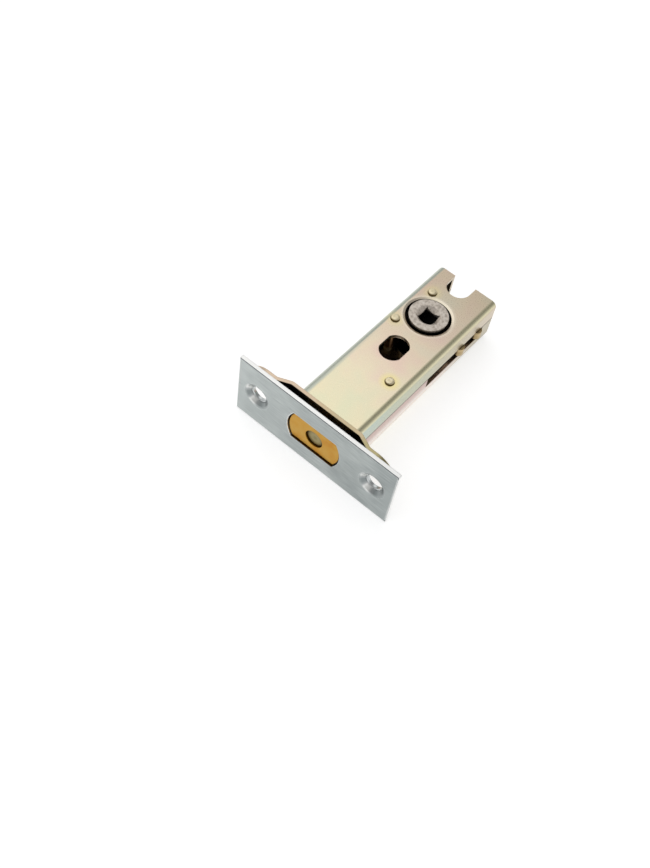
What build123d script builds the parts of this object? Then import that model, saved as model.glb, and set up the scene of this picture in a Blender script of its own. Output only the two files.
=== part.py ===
from build123d import *
import os
from math import radians, sin, sqrt

# Tubular deadbolt, all sizes in millimetres.
# X is the way the bolt is thrown, Y runs along the faceplate and Z is up, through the case's broad faces.
# The origin is the centre of the faceplate's outer face, on the bolt's axis.

# Faceplate
plate_length = 60.0
plate_height = 25.0
plate_thickness = 1.5
plate_edge_break = 0.2
screw_end_distance = 7.5
screw_hole_dia = 5.4
countersink_dia = 9.0
countersink_edge_break = 0.4

# Sheet that the inner forend and the case shells are pressed from
sheet = 1.2

# Inner forend: a wing plate dished away from the faceplate in the middle
forend_end_inset = 2.0
forend_side_inset = 0.3
forend_corner_radius = 7.5
dish_depth = 2.1
dish_margin = 1.4
dish_slope = 4.5
dish_bend_radius = 2.0

# Bolt: round bar with two flats, and the steel pin set in its end
bolt_dia = 19.6
bolt_flats = 11.4
bolt_length = 24.5
bolt_recess = 0.5
bolt_edge_break = 0.3
bolt_clearance = 0.25
core_pin_dia = 6.4
core_pin_length = 15.0
core_pin_recess = 0.6
core_pin_edge_break = 0.2

# Case: two folded shells that meet at a seam along the side walls
case_width = 23.2
case_height = 16.0
tail_room = 4.7
fold_radius = 2.0
seam_height = 1.2
seam_gap = 0.1
end_wall_gap = 0.15

# Tenons of the shells, staked over inside the forend's dish
tenon_width = 4.0
tenon_spacing = 10.0
tenon_head_width = 4.8
tenon_head_length = 0.7

# Follower, its place in the case and the collar it turns in
backset = 57.0
follower_offset = -1.2
boss_dia = 13.0
boss_proud = 0.7
journal_dia = 14.36
collar_dia = 14.5
collar_rim_radius = 1.0
collar_length = 2.5
flange_dia = 16.0
flange_thickness = 0.6
axial_play = 0.15
boss_shoulder = 1.5
cam_dia = 12.0
cam_flats = 9.6
socket_width = 5.2
socket_mouth_dia = 8.0

# Lever of the follower, the turn of the key or knob and the throw that it gives
throw = 16.0
turn_angle = 90.0
lever_thickness = 2.8
lever_drop = 0.6
lever_tip_radius = 12.5
lever_nose_dia = 4.9
lever_neck_width = 2.2
lever_root_width = 6.4
lever_neck_start = 8.0

# Fixing hole and rear notch for the bolts of the door furniture
fixing_hole_forward = 17.8
fixing_hole_width = 7.9
fixing_hole_length = 10.7
fixing_end_radius = 4.2
notch_width = 8.3
notch_depth = 7.8

# Rivets through both shells: one behind the bolt, and two for the detent spring, set from the follower
guide_rivet_gap = 2.85
guide_rivet_offset = 5.84
spring_rivet_ahead = 8.2
spring_rivet_ahead_offset = -7.1
spring_rivet_behind = 9.0
spring_rivet_behind_offset = -5.1
rivet_dia = 3.0
rivet_head_dia = 3.3
rivet_head_height = 0.9
rivet_clearance = 0.05

# Drawbar: strip that joins the bolt to the lever, with two lugs that the lever's nose works between
drawbar_thickness = 1.9
drawbar_gap = 0.4
drawbar_outer = 9.9
drawbar_front_inner = 3.2
drawbar_rear_inner = 5.2
tongue_width = 16.0
tongue_length = 7.0
drawbar_neck_length = 4.0
lug_gap = 6.2
lug_length = 3.5
lug_inner = 6.5
lug_reach = 12.6
lug_drop = 0.2
guide_clearance = 0.25
drawbar_corner = 1.0

# Pins that hold the drawbar in the bolt
drawbar_rivet_dia = 3.0
drawbar_rivet_spacing = 9.0
press_clearance = 0.02

# Slot in the lower shell's side wall that the lugs and the lever's nose run in
slot_clearance = 0.4
slot_height = 4.4

# Detent spring: leaf that bears on the follower's cam and is held by the two rear rivets
spring_thickness = 0.5
spring_width = 8.0
spring_gap = 0.08
spring_flat = 8.0
spring_hook = 2.3
spring_bend_radius = 0.8

# Places worked out from the sizes above
through = 3 * case_height
screw_spacing = plate_length - 2 * screw_end_distance
forend_length = plate_length - 2 * forend_end_inset
forend_height = plate_height - 2 * forend_side_inset
forend_back = plate_thickness + dish_depth + sheet
case_top = case_height / 2
end_wall_reach = case_width / 2 - fold_radius
follower_x = -backset
flange_high = case_top - collar_length - axial_play
flange_low = flange_high - flange_thickness
lever_radius = throw / 2 / sin(radians(turn_angle / 2))
lever_rest_angle = 90 + turn_angle / 2
lever_low = -lever_drop - lever_thickness / 2
drawbar_top = lever_low - drawbar_gap
drawbar_low = drawbar_top - drawbar_thickness
lug_top = seam_height - lug_drop
nose_x = follower_x - throw / 2
bolt_back = bolt_recess + bolt_length
lug_spans = [
    (nose_x + lug_gap / 2, nose_x + lug_gap / 2 + lug_length),
    (nose_x - lug_gap / 2 - lug_length, nose_x - lug_gap / 2),
]
drawbar_rear = lug_spans[1][0]
case_depth = -drawbar_rear + tail_room + sheet
case_length = case_depth - forend_back
rivet_places = [
    (-bolt_back - guide_rivet_gap, guide_rivet_offset),
    (follower_x + spring_rivet_ahead, follower_offset + spring_rivet_ahead_offset),
    (follower_x - spring_rivet_behind, follower_offset + spring_rivet_behind_offset),
]


def span_box(x, y, z):
    """Box between two limits along each axis."""
    low = Vector(x[0], y[0], z[0])
    size = Vector(x[1] - x[0], y[1] - y[0], z[1] - z[0])
    return Pos(low) * Box(size.X, size.Y, size.Z, align=(Align.MIN, Align.MIN, Align.MIN))


def post(x, y, dia, low, high):
    """Upright round bar between two heights."""
    return Pos(x, y, low) * Cylinder(dia / 2, high - low, align=(Align.CENTER, Align.CENTER, Align.MIN))


def bolt_section(clearance):
    """Round section with two flats, seen along the bolt."""
    flats = bolt_flats + 2 * clearance
    round_bar = Circle(bolt_dia / 2 + clearance)
    return Plane.YZ * (round_bar & Rectangle(2 * bolt_dia, flats))


def bolt_aperture():
    """Cutter for the hole that the bolt passes through in the faceplate and the inner forend."""
    return extrude(bolt_section(bolt_clearance), amount=case_depth, both=True)


def screw_cutter():
    """Countersunk screw holes, cut through the faceplate and the inner forend together."""
    cone_depth = (countersink_dia - screw_hole_dia) / 2
    hole = Plane.YZ * Circle(screw_hole_dia / 2)
    mouth = Plane.YZ * Circle(countersink_dia / 2)
    floor = Plane.YZ.offset(-cone_depth) * Circle(screw_hole_dia / 2)
    cutter = extrude(hole, amount=-2 * forend_back) + loft([mouth, floor])
    return [Pos(0, side * screw_spacing / 2, 0) * cutter for side in (-1, 1)]


def faceplate():
    """Flat outer plate, its front edges and the countersinks' mouths broken."""
    plate = span_box(
        (-plate_thickness, 0),
        (-plate_length / 2, plate_length / 2),
        (-plate_height / 2, plate_height / 2),
    )
    plate = chamfer(plate.faces().sort_by(Axis.X)[-1].edges(), plate_edge_break)
    plate = plate - bolt_aperture() - screw_cutter()
    rims = plate.faces().sort_by(Axis.X)[-1].edges().filter_by(GeomType.CIRCLE)
    mouths = [rim for rim in rims if rim.is_closed]
    return chamfer(mouths, countersink_edge_break)


def inner_forend():
    """Strip bent back in the middle, trimmed to a plate with rounded corners."""
    wing_x = -plate_thickness - sheet / 2
    floor_x = wing_x - dish_depth
    floor_y = case_width / 2 + dish_margin
    wing_y = floor_y + dish_slope
    bends = FilletPolyline(
        (wing_x, -plate_length),
        (wing_x, -wing_y),
        (floor_x, -floor_y),
        (floor_x, floor_y),
        (wing_x, wing_y),
        (wing_x, plate_length),
        radius=dish_bend_radius,
    )
    strip = extrude(make_face(bends.offset_2d(sheet / 2)), amount=forend_height, both=True)
    outline = Plane.YZ * RectangleRounded(forend_length, forend_height, forend_corner_radius)
    plate = strip & extrude(outline, amount=-2 * forend_back)
    slots = [tenon_slot(side_y, face) for side_y in tenon_rows() for face in (-1, 1)]
    return plate - bolt_aperture() - screw_cutter() - slots


def tenon_rows():
    """Places of the tenons across each shell."""
    return (-tenon_spacing / 2, tenon_spacing / 2)


def tenon_limits(face):
    """Heights of the sheet that a tenon is cut from, on the upper (1) or lower (-1) shell."""
    heights = (face * case_top, face * (case_top - sheet))
    return (min(heights), max(heights))


def tenon_slot(y, face):
    """Hole for one tenon in the inner forend."""
    reach = tenon_width / 2 + press_clearance
    low, high = tenon_limits(face)
    heights = (low - press_clearance, high + press_clearance)
    return span_box((-2 * forend_back, 0), (y - reach, y + reach), heights)


def tenon(y, face):
    """Tongue on a shell's front edge with its staked head."""
    heights = tenon_limits(face)
    seat = -plate_thickness - dish_depth
    tongue = span_box((-forend_back, seat), (y - tenon_width / 2, y + tenon_width / 2), heights)
    head_reach = tenon_head_width / 2
    return tongue + span_box((seat, seat + tenon_head_length), (y - head_reach, y + head_reach), heights)


def case_tube():
    """Folded sheet of both shells before the seam parts them."""
    outer = RectangleRounded(case_width, case_height, fold_radius)
    inner = RectangleRounded(case_width - 2 * sheet, case_height - 2 * sheet, fold_radius - sheet)
    return extrude(Plane.YZ.offset(-case_depth) * (outer - inner), amount=case_length)


def fixing_cutter():
    """Fixing hole, follower hole, rear notch and rivet holes, cut right through both shells."""
    centres = fixing_hole_length - 2 * fixing_end_radius
    slot = SlotCenterToCenter(centres, 2 * fixing_end_radius)
    slot = slot & Rectangle(fixing_hole_length, fixing_hole_width)
    hole = Pos(follower_x + fixing_hole_forward, follower_offset) * slot
    notch_centre = -case_depth + notch_depth - notch_width / 2
    notch = Pos(notch_centre, follower_offset) * Circle(notch_width / 2)
    notch += Pos(notch_centre - notch_depth / 2, follower_offset) * Rectangle(notch_depth, notch_width)
    follower_hole = Pos(follower_x, follower_offset) * Circle(collar_dia / 2 + collar_rim_radius)
    rivets = [Pos(x, y) * Circle(rivet_dia / 2 + rivet_clearance) for x, y in rivet_places]
    return extrude(Sketch() + [hole, notch, follower_hole] + rivets, amount=through, both=True)


def collar(face):
    """Rim of the follower hole, rolled inwards to make the bearing; two flats stand for the roll."""
    bore = collar_dia / 2
    rim = bore + collar_rim_radius
    end = case_top - collar_length
    throat = case_top - collar_rim_radius
    roll_point = (rim - collar_rim_radius / sqrt(2), throat + collar_rim_radius / sqrt(2))
    section = make_face(Polyline(
        (bore, throat), (bore, end), (rim, end), (rim, case_top), roll_point, close=True,
    ))
    ring = revolve(Plane.XZ * section, Axis.Z)
    if face < 0:
        ring = ring.mirror(Plane.XY)
    return Pos(follower_x, follower_offset, 0) * ring


def finish_shell(shell, face):
    """Holes, follower collar and tenons that both shells have."""
    shell = shell - fixing_cutter() + collar(face)
    return shell + [tenon(y, face) for y in tenon_rows()]


def upper_case_shell():
    """Upper half of the case, from the seam up."""
    room = (-2 * case_depth, 0), (-case_width, case_width), (seam_height + seam_gap / 2, case_height)
    return finish_shell(case_tube() & span_box(*room), 1)


def end_wall():
    """Rear wall folded up from the lower shell's floor between the side walls."""
    outer_x = -case_depth + sheet / 2
    floor_z = -case_top + sheet / 2
    top_z = case_top - sheet - end_wall_gap
    bend = FilletPolyline(
        (outer_x + 2 * fold_radius, floor_z),
        (outer_x, floor_z),
        (outer_x, top_z + sheet),
        radius=fold_radius - sheet / 2,
    )
    section = make_face(bend.offset_2d(sheet / 2))
    wall = extrude(Plane.XZ * section, amount=end_wall_reach, both=True)
    room = (-case_depth, -case_depth + 2 * fold_radius), (-end_wall_reach, end_wall_reach), (-case_top, top_z)
    return wall & span_box(*room)


def side_slot():
    """Opening in the side wall that the drawbar's lugs run in."""
    front = lug_spans[0][1] + throw + slot_clearance
    rear = drawbar_rear - slot_clearance
    low = seam_height - slot_height
    return span_box((rear, front), (drawbar_outer, case_width), (low, case_height))


def lower_case_shell():
    """Lower half of the case, with its rear wall and side slot."""
    room = (-2 * case_depth, 0), (-case_width, case_width), (-case_height, seam_height - seam_gap / 2)
    shell = case_tube() & span_box(*room)
    corner = (-case_depth, -case_depth + fold_radius), (-end_wall_reach, end_wall_reach), (-case_height, 0)
    shell = shell - span_box(*corner) + end_wall() - side_slot()
    return finish_shell(shell, -1)


def case_rivets():
    """Straight rivets with a staked head on each face of the case."""
    rivets = []
    for x, y in rivet_places:
        shank = post(x, y, rivet_dia, -case_top, case_top)
        upper = post(x, y, rivet_head_dia, case_top, case_top + rivet_head_height)
        rivets.append(shank + upper + upper.mirror(Plane.XY))
    return Compound(rivets)


def drawbar_rivet_places():
    """Centres of the pins that join the drawbar to the bolt."""
    x = -bolt_back + tongue_length / 2
    return [(x, side * drawbar_rivet_spacing / 2) for side in (-1, 1)]


def bolt():
    """Flatted bar with an axial bore for the core pin and a slot for the drawbar."""
    bar = Pos(-bolt_recess, 0, 0) * extrude(bolt_section(0), amount=-bolt_length)
    bar = chamfer(bar.faces().sort_by(Axis.X)[-1].edges(), bolt_edge_break)
    bore_depth = core_pin_recess + core_pin_length
    bore = Plane.YZ.offset(-bolt_recess) * Circle(core_pin_dia / 2 + press_clearance)
    slot = span_box(
        (-bolt_back, -bolt_back + tongue_length + press_clearance),
        (-bolt_dia, bolt_dia),
        (drawbar_low - press_clearance, drawbar_top + press_clearance),
    )
    pin_hole_dia = drawbar_rivet_dia + 2 * press_clearance
    pin_holes = [post(x, y, pin_hole_dia, -bolt_dia, bolt_dia) for x, y in drawbar_rivet_places()]
    return bar - extrude(bore, amount=-bore_depth) - slot - pin_holes


def bolt_core_pin():
    """Steel pin pressed into the bolt's bore, a little below the bolt's face."""
    front = Plane.YZ.offset(-bolt_recess - core_pin_recess)
    pin = extrude(front * Circle(core_pin_dia / 2), amount=-core_pin_length)
    return chamfer(pin.faces().sort_by(Axis.X)[-1].edges(), core_pin_edge_break)


def drawbar_rivets():
    """Pins through the bolt and the drawbar's tongue, flush with the bolt's flats."""
    half = bolt_flats / 2
    return Compound([post(x, y, drawbar_rivet_dia, -half, half) for x, y in drawbar_rivet_places()])


def drawbar_plan():
    """Strip seen from above: tongue in the bolt, run past the fixing hole, tail under the lever."""
    tongue_front = -bolt_back + tongue_length
    guide_x, guide_y = rivet_places[0]
    shoulder = guide_x + rivet_dia / 2
    step = follower_x + flange_dia / 2 + drawbar_corner
    half_tongue = tongue_width / 2
    outline = FilletPolyline(
        (tongue_front, -half_tongue),
        (shoulder, -half_tongue),
        (shoulder - drawbar_neck_length, drawbar_front_inner),
        (step, drawbar_front_inner),
        (step - drawbar_rear_inner + drawbar_front_inner, drawbar_rear_inner),
        (drawbar_rear, drawbar_rear_inner),
        (drawbar_rear, drawbar_outer),
        (shoulder - drawbar_outer + half_tongue, drawbar_outer),
        (shoulder, half_tongue),
        (tongue_front, half_tongue),
        radius=drawbar_corner,
        close=True,
    )
    guide = SlotCenterToCenter(throw, rivet_dia + 2 * guide_clearance)
    return make_face(outline) - Pos(guide_x - throw / 2, guide_y) * guide


def drawbar_lug(span):
    """Upright lug on the strip; its round tip stands out through the case's side slot."""
    rear, front = span
    tip_y = lug_reach - lug_length / 2
    foot = span_box(span, (lug_inner, drawbar_outer), (drawbar_low, lug_top))
    arm = span_box(span, (lug_inner, tip_y), (lever_low, lug_top))
    return foot + arm + post((rear + front) / 2, tip_y, lug_length, lever_low, lug_top)


def drawbar():
    """Strip with its two lugs, and holes for the pins that hold it in the bolt."""
    strip = Pos(0, 0, drawbar_low) * extrude(drawbar_plan(), amount=drawbar_thickness)
    strip = strip + [drawbar_lug(span) for span in lug_spans]
    pin_hole_dia = drawbar_rivet_dia + 2 * press_clearance
    return strip - [post(x, y, pin_hole_dia, -bolt_dia, bolt_dia) for x, y in drawbar_rivet_places()]


def lever():
    """Arm of the follower: broad root, slim neck and round nose, drawn along X from the follower's axis."""
    root = lever_root_width / 2
    neck = lever_neck_width / 2
    cam = cam_flats / 2
    arm = Polygon(
        (0, -root),
        (cam, -root),
        (lever_neck_start, -neck),
        (lever_radius, -neck),
        (lever_radius, neck),
        (lever_neck_start, neck),
        (cam, root),
        (0, root),
        align=None,
    )
    plan = arm + Pos(lever_radius, 0) * Circle(lever_nose_dia / 2)
    plan = plan & Circle(lever_tip_radius)
    return Pos(0, 0, lever_low) * extrude(plan, amount=lever_thickness)


def hub_end():
    """Upper end of the hub: flange, journal and the boss that stands proud of the case."""
    boss = post(0, 0, boss_dia, flange_low, case_top + boss_proud)
    journal = post(0, 0, journal_dia, flange_low, case_top - boss_shoulder)
    return boss + journal + post(0, 0, flange_dia, flange_low, flange_high)


def socket_cutter():
    """Square socket with a conical mouth at each end."""
    mouth_high = case_top + boss_proud
    mouth_depth = socket_mouth_dia / 2
    mouth = Pos(0, 0, mouth_high - mouth_depth / 2) * Cone(0, mouth_depth, mouth_depth)
    return Box(socket_width, socket_width, through) + mouth + mouth.mirror(Plane.XY)


def follower():
    """Cast hub with a square socket, a cam for the detent spring and a lever for the drawbar."""
    cam = post(0, 0, cam_dia, -flange_low, flange_low) & Box(cam_flats, cam_flats, case_height)
    end = hub_end()
    hub = cam + end + end.mirror(Plane.XY) + Rot(0, 0, lever_rest_angle) * lever()
    return Pos(follower_x, follower_offset, 0) * (hub - socket_cutter())


def detent_spring():
    """Leaf bent to lie on the follower's cam and to hook round the two rear rivets."""
    half = spring_thickness / 2
    hold = rivet_dia / 2 + spring_gap + half
    (front_x, front_y), (rear_x, rear_y) = rivet_places[1:]
    cam_y = follower_offset - cam_flats / 2 - spring_gap - half
    path = FilletPolyline(
        (front_x + hold, front_y + hold - spring_hook),
        (front_x + hold, front_y + hold),
        (follower_x + spring_flat / 2, cam_y),
        (follower_x - spring_flat / 2, cam_y),
        (rear_x + hold, rear_y + hold),
        (rear_x - hold, rear_y + hold),
        (rear_x - hold, rear_y + hold - spring_hook),
        radius=spring_bend_radius,
    )
    leaf = make_face(path.offset_2d(half))
    return Pos(0, 0, -spring_width / 2) * extrude(leaf, amount=spring_width)


pieces = [
    faceplate,
    inner_forend,
    upper_case_shell,
    lower_case_shell,
    case_rivets,
    bolt,
    bolt_core_pin,
    drawbar,
    drawbar_rivets,
    follower,
    detent_spring,
]

os.makedirs("parts", exist_ok=True)
for piece in pieces:
    export_step(piece(), f"parts/{piece.__name__}.step")
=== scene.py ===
"""Looks of the tubular deadbolt: finishes, staked rivets, floor, light and camera."""

import bpy
import numpy as np
from mathutils import Matrix, Vector


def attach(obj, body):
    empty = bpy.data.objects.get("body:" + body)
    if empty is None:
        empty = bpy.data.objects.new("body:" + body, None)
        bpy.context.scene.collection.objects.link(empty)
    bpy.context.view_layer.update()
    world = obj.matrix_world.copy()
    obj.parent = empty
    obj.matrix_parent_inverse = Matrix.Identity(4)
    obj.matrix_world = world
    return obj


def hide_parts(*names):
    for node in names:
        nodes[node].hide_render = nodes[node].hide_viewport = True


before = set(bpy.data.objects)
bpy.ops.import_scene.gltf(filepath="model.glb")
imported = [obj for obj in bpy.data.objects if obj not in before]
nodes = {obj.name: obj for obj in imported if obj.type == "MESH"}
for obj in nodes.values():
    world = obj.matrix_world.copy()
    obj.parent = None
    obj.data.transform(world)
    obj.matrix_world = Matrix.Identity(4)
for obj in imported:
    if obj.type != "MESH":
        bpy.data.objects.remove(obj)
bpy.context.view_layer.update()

MM = 0.001

# Places in the lock that finishes and pieces are set from, in metres
RIVET_PLACES = ((-27.85 * MM, 5.84 * MM), (-48.8 * MM, -8.3 * MM), (-66.0 * MM, -6.3 * MM))
CASE_TOP = 8.0 * MM
CASE_WALL = 11.6 * MM
SEAM_HEIGHT = 1.2 * MM
FOLD_START = 9.6 * MM
FOLLOWER_AXIS = (-57.0 * MM, -1.2 * MM)
COLLAR_RADIUS = 7.25 * MM
SOCKET_REACH = 3.8 * MM
SOCKET_MOUTH_LOW = 7.2 * MM
CORE_PIN_RADIUS = 3.2 * MM
SCREW_PLACE = 22.5 * MM
COUNTERSINK_RADIUS = 4.9 * MM
SCREW_HOLE_RADIUS = 2.7 * MM
APERTURE_HALF_WIDTH = 10.05 * MM
APERTURE_HALF_HEIGHT = 5.95 * MM
PLATE_HALF_HEIGHT = 12.5 * MM

# Reach and size of marks and painted light on the finishes, and each rivet's share of yellow
APERTURE_RIM = 1.0 * MM
TINT_REACH = 25.0 * MM
FILM_FRONT = -4.0 * MM
FILM_REAR = -76.0 * MM
FILM_CLOUD = 14.0 * MM
FOLD_TINT_FRONT = -15.0 * MM
FOLD_TINT_REAR = -45.0 * MM
SEAM_HALF_WIDTH = 0.3 * MM
POOL_SHARES = (0.85, 0.4, 0.4)
POOL_INSIDE = 1.8 * MM
POOL_OUTSIDE = 3.8 * MM

# Period of a wave texture at scale 1
WAVE_PERIOD = np.pi / 10

# Rivet: shank, head and the dimple that the staking punch leaves
RIVET_SHANK_RADIUS = 1.5 * MM
RIVET_HEAD_RADIUS = 1.55 * MM
RIVET_HEAD_HEIGHT = 0.9 * MM
RIVET_HEAD_SQUARENESS = 3.0
RIVET_DIMPLE_DEPTH = 0.07 * MM
RIVET_DIMPLE_RADIUS = 0.75 * MM

# Floor, through two lines that the lock lies on: the faceplate's lower rear edge, the rear rivet's head
REST_FRONT = (-1.5 * MM, -12.5 * MM)
REST_REAR = (-67.4 * MM, -8.9 * MM)
FLOOR_REACH = 3.0
FLOOR_GLOW = 0.66

# Way to the middle of the studio's softbox, and the key lamp in metres and watts
SOFTBOX_WAY = (0.0, -0.5, 0.866)
LAMP_PLACE = (-0.25, -0.2, 0.55)
LAMP_AIM = (-0.03, 0.0, 0.0)
LAMP_SIZE = 0.35
LAMP_POWER = 0.1

# Camera of the photograph, fitted to the lock's corners: angles in degrees, lens and sensor in mm
CAMERA_PLACE = (147.66 * MM, 90.46 * MM, 258.53 * MM)
CAMERA_AZIMUTH = 120.43
CAMERA_ELEVATION = 55.72
CAMERA_ROLL = 11.6
CAMERA_LENS = 43.53
SENSOR_WIDTH = 36.0
NEAREST_SEEN = 0.01


def linear(hex_colour):
    """Linear RGBA of an sRGB hex colour such as "#a0b0c0"."""
    srgb = np.array([int(hex_colour[i:i + 2], 16) for i in (1, 3, 5)]) / 255
    low = srgb / 12.92
    high = ((srgb + 0.055) / 1.055) ** 2.4
    return (*np.where(srgb <= 0.04045, low, high).tolist(), 1.0)


def add(tree, kind, inputs=None, stops=None, **settings):
    """Adds a node; settings go on it, inputs are values or sockets to link, stops fill a colour ramp."""
    made = tree.nodes.new("ShaderNode" + kind)
    for key, value in settings.items():
        setattr(made, key, value)
    for key, value in (inputs or {}).items():
        if isinstance(value, bpy.types.NodeSocket):
            tree.links.new(value, made.inputs[key])
        else:
            made.inputs[key].default_value = value
    if stops:
        elements = made.color_ramp.elements
        while len(elements) < len(stops):
            elements.new(0.5)
        for element, (place, colour) in zip(elements, stops):
            element.position = place
            element.color = linear(colour)
    return made


def metal(name, roughness=0.5):
    """New bare-metal material, evenly rough unless a pattern is linked; returns it, its tree and shader."""
    made = bpy.data.materials.new(name)
    made.use_nodes = True
    tree = made.node_tree
    shader = tree.nodes["Principled BSDF"]
    shader.inputs["Metallic"].default_value = 1.0
    shader.inputs["Roughness"].default_value = roughness
    return made, tree, shader


def recess_shade(tree, reach, colour):
    """Darkens a colour in gaps and hollows that ambient occlusion finds: painted shade where little light
    comes.
    """
    hollow = add(tree, "AmbientOcclusion", {"Distance": reach}, samples=8)
    open_share = add(tree, "MapRange", {0: hollow.outputs["AO"], 1: 0.25, 2: 0.6})
    painted_shade = {0: open_share.outputs[0], 6: linear("#120d09"), 7: colour}
    return add(tree, "Mix", painted_shade, data_type="RGBA").outputs[2]


def soft_bump(tree, shader, height, depth, strength, edge=0.12 * MM):
    """Fine relief of a surface, its sharp edges slightly rounded."""
    rounded = add(tree, "Bevel", {"Radius": edge}, samples=6)
    bump = add(tree, "Bump", {
        "Height": height, "Distance": depth, "Strength": strength, "Normal": rounded.outputs[0]})
    tree.links.new(bump.outputs[0], shader.inputs["Normal"])


def from_screw(tree, spot):
    """Offset from the nearer screw's axis, in the faceplate's plane."""
    point = add(tree, "SeparateXYZ", {0: spot})
    side = add(tree, "Math", {0: point.outputs["Y"]}, operation="SIGN")
    screw = add(tree, "Math", {0: side.outputs[0], 1: SCREW_PLACE}, operation="MULTIPLY")
    along = add(tree, "Math", {0: screw.outputs[0], 1: point.outputs["Y"]}, operation="SUBTRACT")
    return add(tree, "CombineXYZ", {1: along.outputs[0], 2: point.outputs["Z"]}).outputs[0]


def from_follower(tree, point):
    """Distance from the follower's axis."""
    flat_place = add(tree, "CombineXYZ", {0: point.outputs["X"], 1: point.outputs["Y"]})
    ends = {0: flat_place.outputs[0], 1: (*FOLLOWER_AXIS, 0)}
    return add(tree, "VectorMath", ends, operation="DISTANCE").outputs["Value"]


def film_clouds(tree, spot):
    """Clouds of tint in a passivation film."""
    return add(tree, "TexNoise", {"Vector": spot, "Scale": 1 / FILM_CLOUD, "Detail": 2}).outputs[0]


def countersink_cut(tree, spot, colour):
    """Countersinks, cut after grinding: streaks run down their cones, partly tool chatter and partly
    painted reflection.
    """
    offset = from_screw(tree, spot)
    reach = add(tree, "VectorMath", {0: offset}, operation="LENGTH")
    way = add(tree, "VectorMath", {0: offset}, operation="NORMALIZE")
    # Some four streaks to a turn.
    chatter_and_glints = add(tree, "TexNoise", {"Vector": way.outputs[0], "Scale": 1.2, "Detail": 0})
    # The streaks' bright and dark stops are partly painted reflection.
    cone = add(tree, "ValToRGB", {0: chatter_and_glints.outputs[0]}, stops=[
        (0.3, "#8a9090"), (0.5, "#a9adad"), (0.68, "#eeefec")])
    mouth = {1: COUNTERSINK_RADIUS - 0.8 * MM, 2: COUNTERSINK_RADIUS, 3: 1.0, 4: 0.0}
    cut = add(tree, "MapRange", {0: reach.outputs["Value"], **mouth})
    streaked = {0: cut.outputs[0], 6: colour, 7: cone.outputs[0]}
    return add(tree, "Mix", streaked, data_type="RGBA").outputs[2]


def rolled_edge(tree, reach):
    """Share of a rolled-over edge: 1 where the rounded normal leans off the flat one, 0 on flats."""
    rounded = add(tree, "Bevel", {"Radius": reach}, samples=6)
    flat = add(tree, "NewGeometry").outputs["True Normal"]
    lean = add(tree, "VectorMath", {0: rounded.outputs[0], 1: flat}, operation="DOT_PRODUCT")
    return add(tree, "MapRange", {0: lean.outputs["Value"], 1: 0.985, 2: 0.9}).outputs[0]


def at_aperture(tree, point):
    """Share of the bolt's aperture: 1 on its walls and its rim, 0 on the rest of the plate."""
    across = {0: point.outputs["Y"], 1: 0.0, 2: APERTURE_HALF_WIDTH + APERTURE_RIM}
    upward = {0: point.outputs["Z"], 1: 0.0, 2: APERTURE_HALF_HEIGHT + APERTURE_RIM}
    sides = [add(tree, "Math", inputs, operation="COMPARE").outputs[0] for inputs in (across, upward)]
    return add(tree, "Math", {0: sides[0], 1: sides[1]}, operation="MULTIPLY").outputs[0]


def bright_edges_and_highlights(tree, point, front, aperture):
    """Share of bright edge colour on the plate's sides and rolled-over edges: partly bright sheared metal,
    partly painted highlight.

    The bolt's aperture keeps a bright edge at one end alone, a painted highlight.
    """
    side = add(tree, "MapRange", {0: front, 1: 0.05, 2: 0.5, 3: 1.0, 4: 0.0})
    # Painted highlight: the aperture's rim is dulled except at its one end.
    unlit_span = add(tree, "MapRange", {0: point.outputs["Y"], 1: -8 * MM, 2: -6 * MM, 4: 0.8})
    dull = add(tree, "Math", {0: unlit_span.outputs[0], 1: aperture}, operation="MULTIPLY")
    shares = {0: rolled_edge(tree, 0.6 * MM), 1: dull.outputs[0]}
    rolled = add(tree, "Math", shares, operation="SUBTRACT", use_clamp=True)
    return add(tree, "Math", {0: side.outputs[0], 1: rolled.outputs[0]}, operation="MAXIMUM").outputs[0]


def shaded_sill(tree, normal, aperture, colour):
    """Lower wall of the bolt's aperture, painted dark brown as shade."""
    level = add(tree, "MapRange", {0: normal.outputs["Z"], 1: 0.5, 2: 0.9})
    sill = add(tree, "Math", {0: level.outputs[0], 1: aperture}, operation="MULTIPLY")
    shade_mix = {0: sill.outputs[0], 6: colour, 7: linear("#5c4722")}
    return add(tree, "Mix", shade_mix, data_type="RGBA").outputs[2]


def broken_edge(tree, point, front, colour):
    """Bevel that breaks the plate's long front edges, painted duller than the faces beside it: a painted
    dark reflection.
    """
    bevel = add(tree, "Math", {0: front, 1: np.sqrt(0.5), 2: 0.1}, operation="COMPARE")
    height = add(tree, "Math", {0: point.outputs["Z"]}, operation="ABSOLUTE")
    at_edge = {0: height.outputs[0], 1: PLATE_HALF_HEIGHT - 1 * MM}
    outer = add(tree, "Math", at_edge, operation="GREATER_THAN")
    share = add(tree, "Math", {0: bevel.outputs[0], 1: outer.outputs[0]}, operation="MULTIPLY")
    dark_reflection = {0: share.outputs[0], 6: colour, 7: linear("#7b8183")}
    return add(tree, "Mix", dark_reflection, data_type="RGBA").outputs[2]


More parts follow.
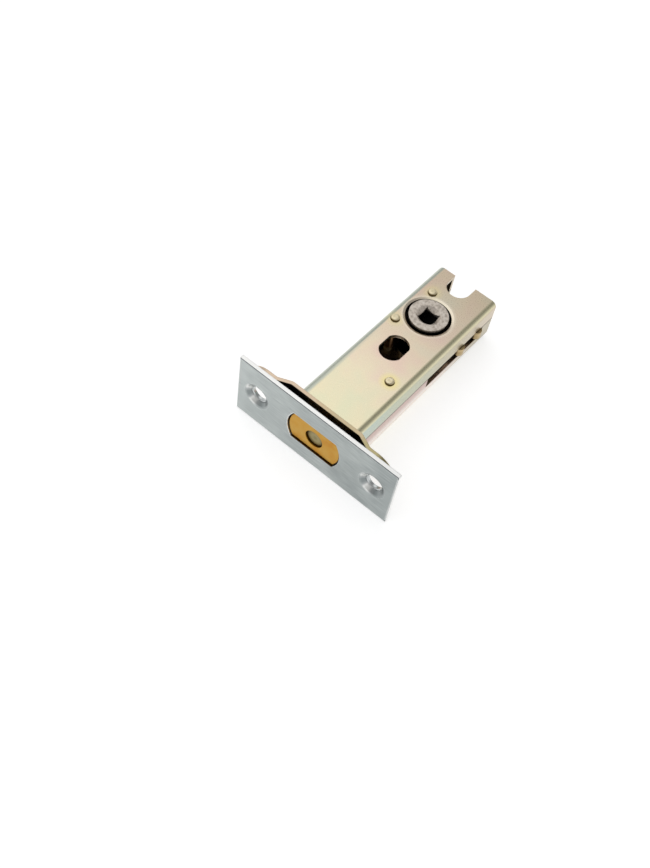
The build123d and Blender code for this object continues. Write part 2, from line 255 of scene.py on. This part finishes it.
def satin_stainless():
    """Stainless strip, satin ground along its length: a soft grey sheen, a painted sheen lighter towards
    one end, and bright edges, partly sheared metal and partly painted highlight.
    """
    made, tree, shader = metal("satin_ground_stainless")
    place = add(tree, "TexCoord")
    spot = place.outputs["Object"]
    # Grinding lines are some 0.05 mm apart; drawn at 0.4 mm so that they show.
    lines = add(tree, "Mapping", {"Vector": spot, "Scale": (1, 0.07, 1)})
    grain = add(tree, "TexNoise", {"Vector": lines.outputs[0], "Scale": 1 / (0.4 * MM), "Detail": 3})
    cloud = add(tree, "TexNoise", {"Vector": spot, "Scale": 1 / (12 * MM), "Detail": 2})
    mottle = add(tree, "Mix", {0: 0.6, 2: cloud.outputs[0], 3: grain.outputs[0]})
    # Painted sheen: the strip is coloured a little darker towards one end.
    point = add(tree, "SeparateXYZ", {0: spot})
    painted_sheen = add(tree, "MapRange", {0: point.outputs["Y"], 1: -TINT_REACH, 2: TINT_REACH, 3: 0.02, 4: -0.16})
    shade = add(tree, "Math", {0: mottle.outputs[0], 1: painted_sheen.outputs[0]}, operation="ADD")
    face = add(tree, "ValToRGB", {0: shade.outputs[0]}, stops=[(0.2, "#8f9696"), (0.7, "#c4cac8")])
    normal = add(tree, "SeparateXYZ", {0: place.outputs["Normal"]})
    front = add(tree, "Math", {0: normal.outputs["X"]}, operation="ABSOLUTE").outputs[0]
    aperture = at_aperture(tree, point)
    edges = bright_edges_and_highlights(tree, point, front, aperture)
    # Bright edges: partly sheared metal, partly painted highlight.
    sheared = {0: edges, 6: face.outputs[0], 7: linear("#f4f4f2")}
    colour = add(tree, "Mix", sheared, data_type="RGBA").outputs[2]
    # Painted shade on the aperture's lower wall.
    colour = shaded_sill(tree, normal, aperture, colour)
    # Painted dark reflection on the long front bevels.
    colour = broken_edge(tree, point, front, colour)
    colour = countersink_cut(tree, spot, colour)
    tree.links.new(recess_shade(tree, 0.5 * MM, colour), shader.inputs["Base Color"])
    rough = add(tree, "MapRange", {0: grain.outputs[0], 3: 0.28, 4: 0.44})
    tree.links.new(rough.outputs[0], shader.inputs["Roughness"])
    soft_bump(tree, shader, grain.outputs[0], 0.01 * MM, 0.4, 0.3 * MM)
    return made


def passivated_film(tree, spot):
    """Yellow passivation film: cream gold at the front, pink beige at the rear, clouded pink and green; it
    darkens towards the rear, partly as painted shade.

    Returns its place along the lock, 0 at the front and 1 at the rear, and its colour.
    """
    point = add(tree, "SeparateXYZ", {0: spot})
    cloud = film_clouds(tree, spot)
    along = add(tree, "MapRange", {0: point.outputs["X"], 1: FILM_FRONT, 2: FILM_REAR})
    drift = add(tree, "Math", {0: cloud, 1: 0.30, 2: -0.15}, operation="MULTIPLY_ADD")
    rearward = add(tree, "Math", {0: along.outputs[0], 1: drift.outputs[0]}, operation="ADD").outputs[0]
    # Partly painted shade: the film darkens towards the rear.
    body = add(tree, "ValToRGB", {0: rearward}, stops=[
        (0.0, "#e6dcba"), (0.3, "#eadfc4"), (0.5, "#e8d4c0"), (0.75, "#dcc8b7"), (1.0, "#d5c3ac")])
    hue = add(tree, "ValToRGB", {0: cloud}, stops=[
        (0.34, "#d6e0c2"), (0.5, "#ebdebd"), (0.66, "#edccc0")])
    tinted = add(tree, "Mix", {0: 0.35, 6: body.outputs[0], 7: hue.outputs[0]}, data_type="RGBA")
    return rearward, tinted.outputs[2]


def wall_tint(tree, point, upright, rearward, colour):
    """Side walls: grey green above the seam; below it pinkish, paler lower down, cream at the rear. The
    paling lower down is partly painted reflection of the white table.
    """
    upper = add(tree, "ValToRGB", {0: rearward}, stops=[
        (0.0, "#b9cac4"), (0.35, "#bdc2aa"), (0.7, "#c3ba9f"), (1.0, "#c9baa4")])
    down = add(tree, "MapRange", {0: point.outputs["Z"], 1: SEAM_HEIGHT, 2: -CASE_TOP})
    # Paler lower down: partly painted reflection of the white table.
    pinkish = add(tree, "ValToRGB", {0: down.outputs[0]}, stops=[
        (0.0, "#c5aaa2"), (0.3, "#d1b8b0"), (0.6, "#f2e8e2"), (1.0, "#efe2cf")])
    behind = add(tree, "MapRange", {0: rearward, 1: 0.65, 2: 0.95})
    creamed = {0: behind.outputs[0], 6: pinkish.outputs[0], 7: linear("#b7ae96")}
    lower = add(tree, "Mix", creamed, data_type="RGBA")
    below = add(tree, "Math", {0: point.outputs["Z"], 1: SEAM_HEIGHT}, operation="LESS_THAN")
    walls = {0: below.outputs[0], 6: upper.outputs[0], 7: lower.outputs[2]}
    wall = add(tree, "Mix", walls, data_type="RGBA")
    on_side = add(tree, "MapRange", {0: upright, 1: 0.6, 2: 0.95})
    tints = {0: on_side.outputs[0], 6: colour, 7: wall.outputs[2]}
    return add(tree, "Mix", tints, data_type="RGBA").outputs[2]


def fold_tint(tree, point, upright, colour):
    """Folds tinted grey green along one side of the case, olive on the other."""
    bend = add(tree, "MapRange", {0: upright, 1: 0.0, 2: 0.2})
    off_axis = add(tree, "Math", {0: point.outputs["Y"]}, operation="ABSOLUTE")
    at_fold = add(tree, "MapRange", {0: off_axis.outputs[0], 1: FOLD_START - 0.5 * MM, 2: FOLD_START})
    folds = add(tree, "Math", {0: bend.outputs[0], 1: at_fold.outputs[0]}, operation="MULTIPLY")
    # On the grey green side the tint runs on over the broad face's edge, in the front half.
    margin = add(tree, "MapRange", {0: point.outputs["Y"], 1: -FOLD_START + 0.8 * MM, 2: -FOLD_START})
    forward = add(tree, "MapRange", {0: point.outputs["X"], 1: FOLD_TINT_REAR, 2: FOLD_TINT_FRONT})
    run_on = add(tree, "Math", {0: margin.outputs[0], 1: forward.outputs[0]}, operation="MULTIPLY")
    film = add(tree, "Math", {0: folds.outputs[0], 1: run_on.outputs[0]}, operation="MAXIMUM")
    off_wall = add(tree, "MapRange", {0: upright, 1: 0.8, 2: 0.97, 3: 1.0, 4: 0.0})
    share = add(tree, "Math", {0: film.outputs[0], 1: off_wall.outputs[0]}, operation="MULTIPLY")
    which = add(tree, "MapRange", {0: point.outputs["Y"], 1: -FOLD_START, 2: FOLD_START})
    tint = add(tree, "ValToRGB", {0: which.outputs[0]}, stops=[(0.0, "#b9beb1"), (1.0, "#d8d2b0")])
    folded = {0: share.outputs[0], 6: colour, 7: tint.outputs[0]}
    return add(tree, "Mix", folded, data_type="RGBA").outputs[2]


def seam_dirt_and_shade(tree, point, upright, rearward, colour):
    """Dark line along the side walls at the seam, thicker towards the rear: partly dirt that the seam's
    sheared lips hold, partly painted shade in the groove between them.
    """
    seam = {0: point.outputs["Z"], 1: SEAM_HEIGHT, 2: SEAM_HALF_WIDTH}
    near = add(tree, "Math", seam, operation="COMPARE")
    on_side = add(tree, "MapRange", {0: upright, 1: 0.9, 2: 0.95})
    line = add(tree, "Math", {0: near.outputs[0], 1: on_side.outputs[0]}, operation="MULTIPLY")
    thick = add(tree, "MapRange", {0: rearward, 1: 0.3, 2: 0.9, 3: 0.75, 4: 0.95})
    darkening = add(tree, "Math", {0: line.outputs[0], 1: thick.outputs[0]}, operation="MULTIPLY")
    stained_and_shaded = {0: darkening.outputs[0], 6: colour, 7: linear("#4f372b")}
    return add(tree, "Mix", stained_and_shaded, data_type="RGBA").outputs[2]


def rivet_pools(tree, point, colour):
    """Yellow pools that the passivating bath left round the rivets' heads."""
    height = add(tree, "Math", {0: point.outputs["Z"]}, operation="ABSOLUTE")
    upper = add(tree, "CombineXYZ", {0: point.outputs["X"], 1: point.outputs["Y"], 2: height.outputs[0]})
    for (x, y), share in zip(RIVET_PLACES, POOL_SHARES):
        reach = add(tree, "VectorMath", {0: upper.outputs[0], 1: (x, y, CASE_TOP)}, operation="DISTANCE")
        fading = {1: POOL_INSIDE, 2: POOL_OUTSIDE, 3: share, 4: 0.0}
        pool = add(tree, "MapRange", {0: reach.outputs["Value"], **fading})
        yellowed = {0: pool.outputs[0], 6: colour, 7: linear("#f2e3a4")}
        colour = add(tree, "Mix", yellowed, data_type="RGBA").outputs[2]
    return colour


def collar_highlight(tree, point, colour):
    """Rolled rim of the follower's collar, lightened all round: a painted highlight."""
    fading = {1: COLLAR_RADIUS + 1.0 * MM, 2: COLLAR_RADIUS + 2.0 * MM, 3: 0.5, 4: 0.0}
    rim = add(tree, "MapRange", {0: from_follower(tree, point), **fading})
    painted_highlight = {0: rim.outputs[0], 6: colour, 7: linear("#f8eeda")}
    return add(tree, "Mix", painted_highlight, data_type="RGBA").outputs[2]


def plated_surface(tree, shader, spot, colour, shade_reach):
    """Bright zinc plating under a film's colour: an even, fine-grained shine."""
    # Grain of the plating is some 0.4 mm.
    grain = add(tree, "TexNoise", {"Vector": spot, "Scale": 1 / (0.4 * MM), "Detail": 3})
    tree.links.new(recess_shade(tree, shade_reach, colour), shader.inputs["Base Color"])
    rough = add(tree, "MapRange", {0: grain.outputs[0], 3: 0.22, 4: 0.36})
    tree.links.new(rough.outputs[0], shader.inputs["Roughness"])
    soft_bump(tree, shader, grain.outputs[0], 0.008 * MM, 0.3, 0.2 * MM)


def passivated_forend():
    """Zinc-plated strip, pressed and yellow passivated: beige to olive, its screw holes drilled bare."""
    made, tree, shader = metal("yellow_passivated_forend")
    spot = add(tree, "TexCoord").outputs["Object"]
    point = add(tree, "SeparateXYZ", {0: spot})
    along = add(tree, "MapRange", {0: point.outputs["Y"], 1: -TINT_REACH, 2: TINT_REACH, 3: -0.3, 4: 0.3})
    film_place = add(tree, "Math", {0: along.outputs[0], 1: film_clouds(tree, spot)}, operation="ADD")
    film = add(tree, "ValToRGB", {0: film_place.outputs[0]}, stops=[
        (0.2, "#d2bda8"), (0.5, "#cbb798"), (0.8, "#b3a880")])
    reach = add(tree, "VectorMath", {0: from_screw(tree, spot)}, operation="LENGTH")
    at_hole = {0: reach.outputs["Value"], 1: SCREW_HOLE_RADIUS + 1.2 * MM}
    drilled = add(tree, "Math", at_hole, operation="LESS_THAN")
    bare = {0: drilled.outputs[0], 6: film.outputs[0], 7: linear("#c6caca")}
    colour = add(tree, "Mix", bare, data_type="RGBA").outputs[2]
    plated_surface(tree, shader, spot, colour, 5 * MM)
    return made


def passivated_case():
    """Zinc-plated sheet, folded and yellow passivated: its tint changes at folds, walls and rivets."""
    made, tree, shader = metal("yellow_passivated_case")
    place = add(tree, "TexCoord")
    spot = place.outputs["Object"]
    point = add(tree, "SeparateXYZ", {0: spot})
    normal = add(tree, "SeparateXYZ", {0: place.outputs["Normal"]})
    upright = add(tree, "Math", {0: normal.outputs["Y"]}, operation="ABSOLUTE").outputs[0]
    rearward, colour = passivated_film(tree, spot)
    colour = wall_tint(tree, point, upright, rearward, colour)
    colour = fold_tint(tree, point, upright, colour)
    # Dirt and painted shade along the seam.
    colour = seam_dirt_and_shade(tree, point, upright, rearward, colour)
    colour = rivet_pools(tree, point, colour)
    # Painted highlight on the collar's rim.
    colour = collar_highlight(tree, point, colour)
    plated_surface(tree, shader, spot, colour, 2.5 * MM)
    return made


def staked_steel():
    """Plated rivet steel, hammered over: small dents break its shine; its flanks are painted dark brown as
    shade, its crown light.
    """
    made, tree, shader = metal("staked_rivet_steel", 0.38)
    place = add(tree, "TexCoord")
    spot = place.outputs["Object"]
    # Hammer dents some 0.6 mm across.
    dents = add(tree, "TexNoise", {"Vector": spot, "Scale": 1 / (0.6 * MM), "Detail": 2})
    struck = add(tree, "ValToRGB", {0: dents.outputs[0]}, stops=[(0.35, "#e2d4ae"), (0.65, "#f0e4c4")])
    normal = add(tree, "SeparateXYZ", {0: place.outputs["Normal"]})
    level = add(tree, "Math", {0: normal.outputs["Z"]}, operation="ABSOLUTE")
    crown = add(tree, "MapRange", {0: level.outputs[0], 1: 0.45, 2: 0.85})
    # Painted shade: dark brown on the flanks, the struck colour on the crown.
    film = {0: crown.outputs[0], 6: linear("#77653a"), 7: struck.outputs[0]}
    colour = add(tree, "Mix", film, data_type="RGBA").outputs[2]
    tree.links.new(recess_shade(tree, 1 * MM, colour), shader.inputs["Base Color"])
    soft_bump(tree, shader, dents.outputs[0], 0.02 * MM, 0.3)
    return made


def brass_bar():
    """Drawn brass bar, cut off and tumbled: golden, with orange and greenish clouds, faintly lined."""
    made, tree, shader = metal("tumbled_brass")
    spot = add(tree, "TexCoord").outputs["Object"]
    # Clouds 4 mm across; cutter lines 0.5 mm apart, coarser than real ones so that they show.
    cloud = add(tree, "TexNoise", {"Vector": spot, "Scale": 1 / (4 * MM), "Detail": 3})
    lines = add(tree, "Mapping", {"Vector": spot, "Scale": (1, 0.1, 1)})
    cuts = add(tree, "TexNoise", {"Vector": lines.outputs[0], "Scale": 1 / (0.5 * MM), "Detail": 2})
    colour = add(tree, "ValToRGB", {0: cloud.outputs[0]}, stops=[
        (0.3, "#c59b43"), (0.5, "#c29131"), (0.7, "#bd8421")])
    tree.links.new(recess_shade(tree, 1.5 * MM, colour.outputs[0]), shader.inputs["Base Color"])
    rough = add(tree, "MapRange", {0: cuts.outputs[0], 3: 0.26, 4: 0.4})
    tree.links.new(rough.outputs[0], shader.inputs["Roughness"])
    soft_bump(tree, shader, cuts.outputs[0], 0.01 * MM, 0.4)
    return made


def hardened_steel():
    """Hardened pin, turned and oiled: dull olive grey, with turning rings and painted shade round the rim
    of its end.
    """
    made, tree, shader = metal("hardened_pin_steel", 0.42)
    spot = add(tree, "TexCoord").outputs["Object"]
    # Turning rings about the bolt's axis, 2.5 mm apart, coarser than real ones so that they show.
    turned = {"Vector": spot, "Scale": WAVE_PERIOD / (2.5 * MM), "Distortion": 1.0}
    rings = add(tree, "TexWave", turned, wave_type="RINGS", rings_direction="X")
    olive = add(tree, "ValToRGB", {0: rings.outputs[1]}, stops=[(0.0, "#887d54"), (1.0, "#9f9268")])
    point = add(tree, "SeparateXYZ", {0: spot})
    offset = add(tree, "CombineXYZ", {1: point.outputs["Y"], 2: point.outputs["Z"]})
    reach = add(tree, "VectorMath", {0: offset.outputs[0]}, operation="LENGTH")
    # Painted shade round the rim of the pin's end.
    rising = {1: CORE_PIN_RADIUS - 0.9 * MM, 2: CORE_PIN_RADIUS - 0.3 * MM}
    rim = add(tree, "MapRange", {0: reach.outputs["Value"], **rising})
    darkening = {0: rim.outputs[0], 6: olive.outputs[0], 7: linear("#3b2b14")}
    colour = add(tree, "Mix", darkening, data_type="RGBA").outputs[2]
    tree.links.new(colour, shader.inputs["Base Color"])
    soft_bump(tree, shader, rings.outputs[1], 0.02 * MM, 0.4)
    return made


def cast_zinc():
    """Die-cast zinc, tumbled: light pinkish grey, dull, with fine pits and darker specks."""
    made, tree, shader = metal("die_cast_zinc")
    spot = add(tree, "TexCoord").outputs["Object"]
    # Pits some 0.45 mm across, specks 0.9 mm.
    pits = add(tree, "TexNoise", {"Vector": spot, "Scale": 1 / (0.45 * MM), "Detail": 4})
    specks = add(tree, "TexNoise", {"Vector": spot, "Scale": 1 / (0.9 * MM), "Detail": 3})
    speckled = add(tree, "ValToRGB", {0: specks.outputs[0]}, stops=[
        (0.32, "#b5ab9f"), (0.5, "#d8cec2"), (0.7, "#e6ded4")])
    # Painted shade blackens the socket below its conical mouths, and the rest up to the case's broad faces.
    point = add(tree, "SeparateXYZ", {0: spot})
    mouth = {1: SOCKET_REACH, 2: SOCKET_REACH + 1 * MM, 3: SOCKET_MOUTH_LOW, 4: CASE_TOP}
    level = add(tree, "MapRange", {0: from_follower(tree, point), **mouth})
    height = add(tree, "Math", {0: point.outputs["Z"]}, operation="ABSOLUTE")
    depth = add(tree, "Math", {0: level.outputs[0], 1: height.outputs[0]}, operation="SUBTRACT")
    shade_share = add(tree, "MapRange", {0: depth.outputs[0], 1: 0.0, 2: 0.6 * MM})
    shade_mix = {0: shade_share.outputs[0], 6: speckled.outputs[0], 7: linear("#1f1c18")}
    colour = add(tree, "Mix", shade_mix, data_type="RGBA").outputs[2]
    tree.links.new(recess_shade(tree, 4 * MM, colour), shader.inputs["Base Color"])
    rough = add(tree, "MapRange", {0: pits.outputs[0], 3: 0.36, 4: 0.58})
    tree.links.new(rough.outputs[0], shader.inputs["Roughness"])
    soft_bump(tree, shader, pits.outputs[0], 0.04 * MM, 0.5, 0.3 * MM)
    return made


def works_steel():
    """Plated strip steel of the works: brownish grey outside, painted dark inside the case as shade."""
    made, tree, shader = metal("strip_steel_shaded_inside")
    spot = add(tree, "TexCoord").outputs["Object"]
    # Grease smears some 3 mm across.
    smear = add(tree, "TexNoise", {"Vector": spot, "Scale": 1 / (3 * MM), "Detail": 3})
    wiped = add(tree, "ValToRGB", {0: smear.outputs[0]}, stops=[(0.35, "#a8936d"), (0.65, "#cbb58b")])
    point = add(tree, "SeparateXYZ", {0: spot})
    # Painted shade: dark brown inside the case.
    off_axis = add(tree, "Math", {0: point.outputs["Y"]}, operation="ABSOLUTE")
    outside = add(tree, "MapRange", {0: off_axis.outputs[0], 1: CASE_WALL - 1 * MM, 2: CASE_WALL})
    shade_mix = {0: outside.outputs[0], 6: linear("#4b3d24"), 7: wiped.outputs[0]}
    colour = add(tree, "Mix", shade_mix, data_type="RGBA").outputs[2]
    tree.links.new(recess_shade(tree, 2 * MM, colour), shader.inputs["Base Color"])
    rough = add(tree, "MapRange", {0: smear.outputs[0], 3: 0.3, 4: 0.5})
    tree.links.new(rough.outputs[0], shader.inputs["Roughness"])
    soft_bump(tree, shader, smear.outputs[0], 0.02 * MM, 0.3, 0.3 * MM)
    return made


def spring_steel():
    """Tempered spring strip: dark brown with paler brown patches."""
    made, tree, shader = metal("brown_tempered_spring_steel", 0.35)
    spot = add(tree, "TexCoord").outputs["Object"]
    # Temper colours change over some 5 mm.
    temper = add(tree, "TexNoise", {"Vector": spot, "Scale": 1 / (5 * MM), "Detail": 2})
    colour = add(tree, "ValToRGB", {0: temper.outputs[0]}, stops=[(0.4, "#634a34"), (0.7, "#806448")])
    tree.links.new(colour.outputs[0], shader.inputs["Base Color"])
    return made


def mesh_object(name, vertices, faces, material):
    """New smooth-shaded piece from arrays, its place in its mesh."""
    mesh = bpy.data.meshes.new(name)
    mesh.from_pydata(vertices.tolist(), [], faces)
    mesh.shade_smooth()
    mesh.materials.append(material)
    made = bpy.data.objects.new(name, mesh)
    bpy.context.scene.collection.objects.link(made)
    return made


def rivet_profile(steps=14):
    """Radius and height along a rivet, from the pole of its upper head to that of its lower one.

    The head is a superellipse, (r/R)^n + (z/h)^n = 1 with n its squareness, less a bell-shaped dimple;
    the shank is straight.
    """
    turn = np.linspace(0, np.pi / 2, steps)
    radius = RIVET_HEAD_RADIUS * np.sin(turn) ** (2 / RIVET_HEAD_SQUARENESS)
    crown = RIVET_HEAD_HEIGHT * np.cos(turn) ** (2 / RIVET_HEAD_SQUARENESS)
    dimple = RIVET_DIMPLE_DEPTH * np.exp(-(radius / RIVET_DIMPLE_RADIUS) ** 4)
    head = CASE_TOP + np.maximum(crown - dimple, 0)
    radius = np.append(radius, RIVET_SHANK_RADIUS)
    head = np.append(head, CASE_TOP)
    return np.concatenate([radius, radius[::-1]]), np.concatenate([head, -head[::-1]])


def staked_rivets(material, around=40):
    """Rivets with staked heads: the profile carried round each rivet's axis, closed at both poles."""
    radius, height = rivet_profile()
    rings = len(radius) - 2
    angle = np.linspace(0, 2 * np.pi, around, endpoint=False)
    circle = np.stack([np.cos(angle), np.sin(angle)], -1)
    wall = np.empty((rings, around, 3))
    wall[..., :2] = radius[1:-1, None, None] * circle
    wall[..., 2] = height[1:-1, None]
    poles = np.array([[0, 0, height[0]], [0, 0, height[-1]]])
    one = np.concatenate([wall.reshape(-1, 3), poles])
    step = np.arange(around)
    after = (step + 1) % around
    row = np.arange(rings - 1)[:, None] * around
    corners = [row + step, row + around + step, row + around + after, row + after]
    quads = np.stack(corners, -1).reshape(-1, 4)
    top = np.stack([np.full(around, rings * around), step, after], -1)
    low = (rings - 1) * around
    bottom = np.stack([np.full(around, rings * around + 1), low + after, low + step], -1)
    vertices = np.concatenate([one + (x, y, 0) for x, y in RIVET_PLACES])
    faces = []
    for count in range(len(RIVET_PLACES)):
        start = count * len(one)
        faces += (quads + start).tolist() + (top + start).tolist() + (bottom + start).tolist()
    return mesh_object("staked_rivets", vertices, faces, material)


def white_table():
    """Matt white table top: it glows to the eye and in reflections, and adds no light of its own."""
    made = bpy.data.materials.new("white_table")
    made.use_nodes = True
    tree = made.node_tree
    shader = tree.nodes["Principled BSDF"]
    shader.inputs["Base Color"].default_value = linear("#cfcfcf")
    shader.inputs["Roughness"].default_value = 0.9
    shader.inputs["Emission Color"].default_value = linear("#ffffff")
    ray = add(tree, "LightPath")
    kinds = ("Camera", "Glossy", "Transmission")
    direct, mirrored, through = (ray.outputs[f"Is {kind} Ray"] for kind in kinds)
    reached = add(tree, "Math", {0: direct, 1: mirrored}, operation="MAXIMUM")
    seen = add(tree, "Math", {0: reached.outputs[0], 1: through}, operation="MAXIMUM")
    glow = add(tree, "Math", {0: seen.outputs[0], 1: FLOOR_GLOW}, operation="MULTIPLY")
    tree.links.new(glow.outputs[0], shader.inputs["Emission Strength"])
    return made


def floor():
    """Table top that touches the lock where it lies: a plane through its front and rear lines of rest."""
    (front_x, front_z), (rear_x, rear_z) = REST_FRONT, REST_REAR
    slope = (rear_z - front_z) / (rear_x - front_x)
    x, y = np.meshgrid([-FLOOR_REACH, FLOOR_REACH], [-FLOOR_REACH, FLOOR_REACH])
    z = front_z + slope * (x - front_x)
    vertices = np.stack([x, y, z], -1).reshape(-1, 3)
    mesh_object("floor", vertices, [(0, 1, 3, 2)], white_table())


def studio_world():
    """Plain studio: a broad white softbox overhead and to the left, a grey ring round it, pale walls."""
    world = bpy.data.worlds.new("studio")
    world.use_nodes = True
    tree = world.node_tree
    way = add(tree, "TexCoord").outputs["Generated"]
    near = add(tree, "VectorMath", {0: way, 1: SOFTBOX_WAY}, operation="DOT_PRODUCT")
    ceiling = add(tree, "ValToRGB", {0: near.outputs["Value"]}, stops=[
        (0.0, "#b4b4b4"), (0.4, "#989898"), (0.62, "#949494"), (0.76, "#d4d4d4"), (0.86, "#ffffff")])
    height = add(tree, "SeparateXYZ", {0: way})
    above = add(tree, "MapRange", {0: height.outputs["Z"], 1: 0.1, 2: 0.45})
    room = {0: above.outputs[0], 6: linear("#ffffff"), 7: ceiling.outputs[0]}
    colour = add(tree, "Mix", room, data_type="RGBA").outputs[2]
    tree.links.new(colour, tree.nodes["Background"].inputs["Color"])
    bpy.context.scene.world = world


def key_lamp():
    """Square softbox that faces the lock."""
    light = bpy.data.lights.new("key", "AREA")
    light.size = LAMP_SIZE
    light.energy = LAMP_POWER
    lamp = bpy.data.objects.new("key", light)
    lamp.location = LAMP_PLACE
    lamp.rotation_mode = "QUATERNION"
    lamp.rotation_quaternion = (Vector(LAMP_AIM) - Vector(LAMP_PLACE)).to_track_quat("-Z", "Y")
    bpy.context.scene.collection.objects.link(lamp)


def camera():
    """Camera at the photograph's viewpoint, turned by azimuth, elevation and roll."""
    azimuth, elevation, roll = np.radians([CAMERA_AZIMUTH, CAMERA_ELEVATION, CAMERA_ROLL])
    level_reach = np.cos(elevation)
    back = np.array([np.sin(azimuth) * level_reach, -np.cos(azimuth) * level_reach, np.sin(elevation)])
    level = np.cross((0, 0, 1), back) / level_reach
    upright = np.cross(back, level)
    right = np.cos(roll) * level + np.sin(roll) * upright
    up = np.cos(roll) * upright - np.sin(roll) * level
    lens = bpy.data.cameras.new("camera")
    lens.lens = CAMERA_LENS
    lens.sensor_width = SENSOR_WIDTH
    lens.clip_start = NEAREST_SEEN
    eye = bpy.data.objects.new("camera", lens)
    turn = np.eye(4)
    turn[:3, :3] = np.stack([right, up, back], -1)
    turn[:3, 3] = CAMERA_PLACE
    eye.matrix_world = Matrix(turn.tolist())
    bpy.context.scene.collection.objects.link(eye)
    bpy.context.scene.camera = eye


def dress(material, *names):
    """Gives solids their finish."""
    for name in names:
        mesh = nodes[name].data
        mesh.materials.clear()
        mesh.materials.append(material)


bpy.context.scene.view_settings.view_transform = "Standard"

rivet_steel = staked_steel()
dress(satin_stainless(), "faceplate")
dress(passivated_forend(), "inner_forend")
dress(passivated_case(), "upper_case_shell", "lower_case_shell")
dress(rivet_steel, "case_rivets")
dress(brass_bar(), "bolt")
dress(hardened_steel(), "bolt_core_pin")
dress(cast_zinc(), "follower")
dress(works_steel(), "drawbar", "drawbar_rivets")
dress(spring_steel(), "detent_spring")

rivets = staked_rivets(rivet_steel)
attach(rivets, "case_body")
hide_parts("case_rivets")

floor()
studio_world()
key_lamp()
camera()
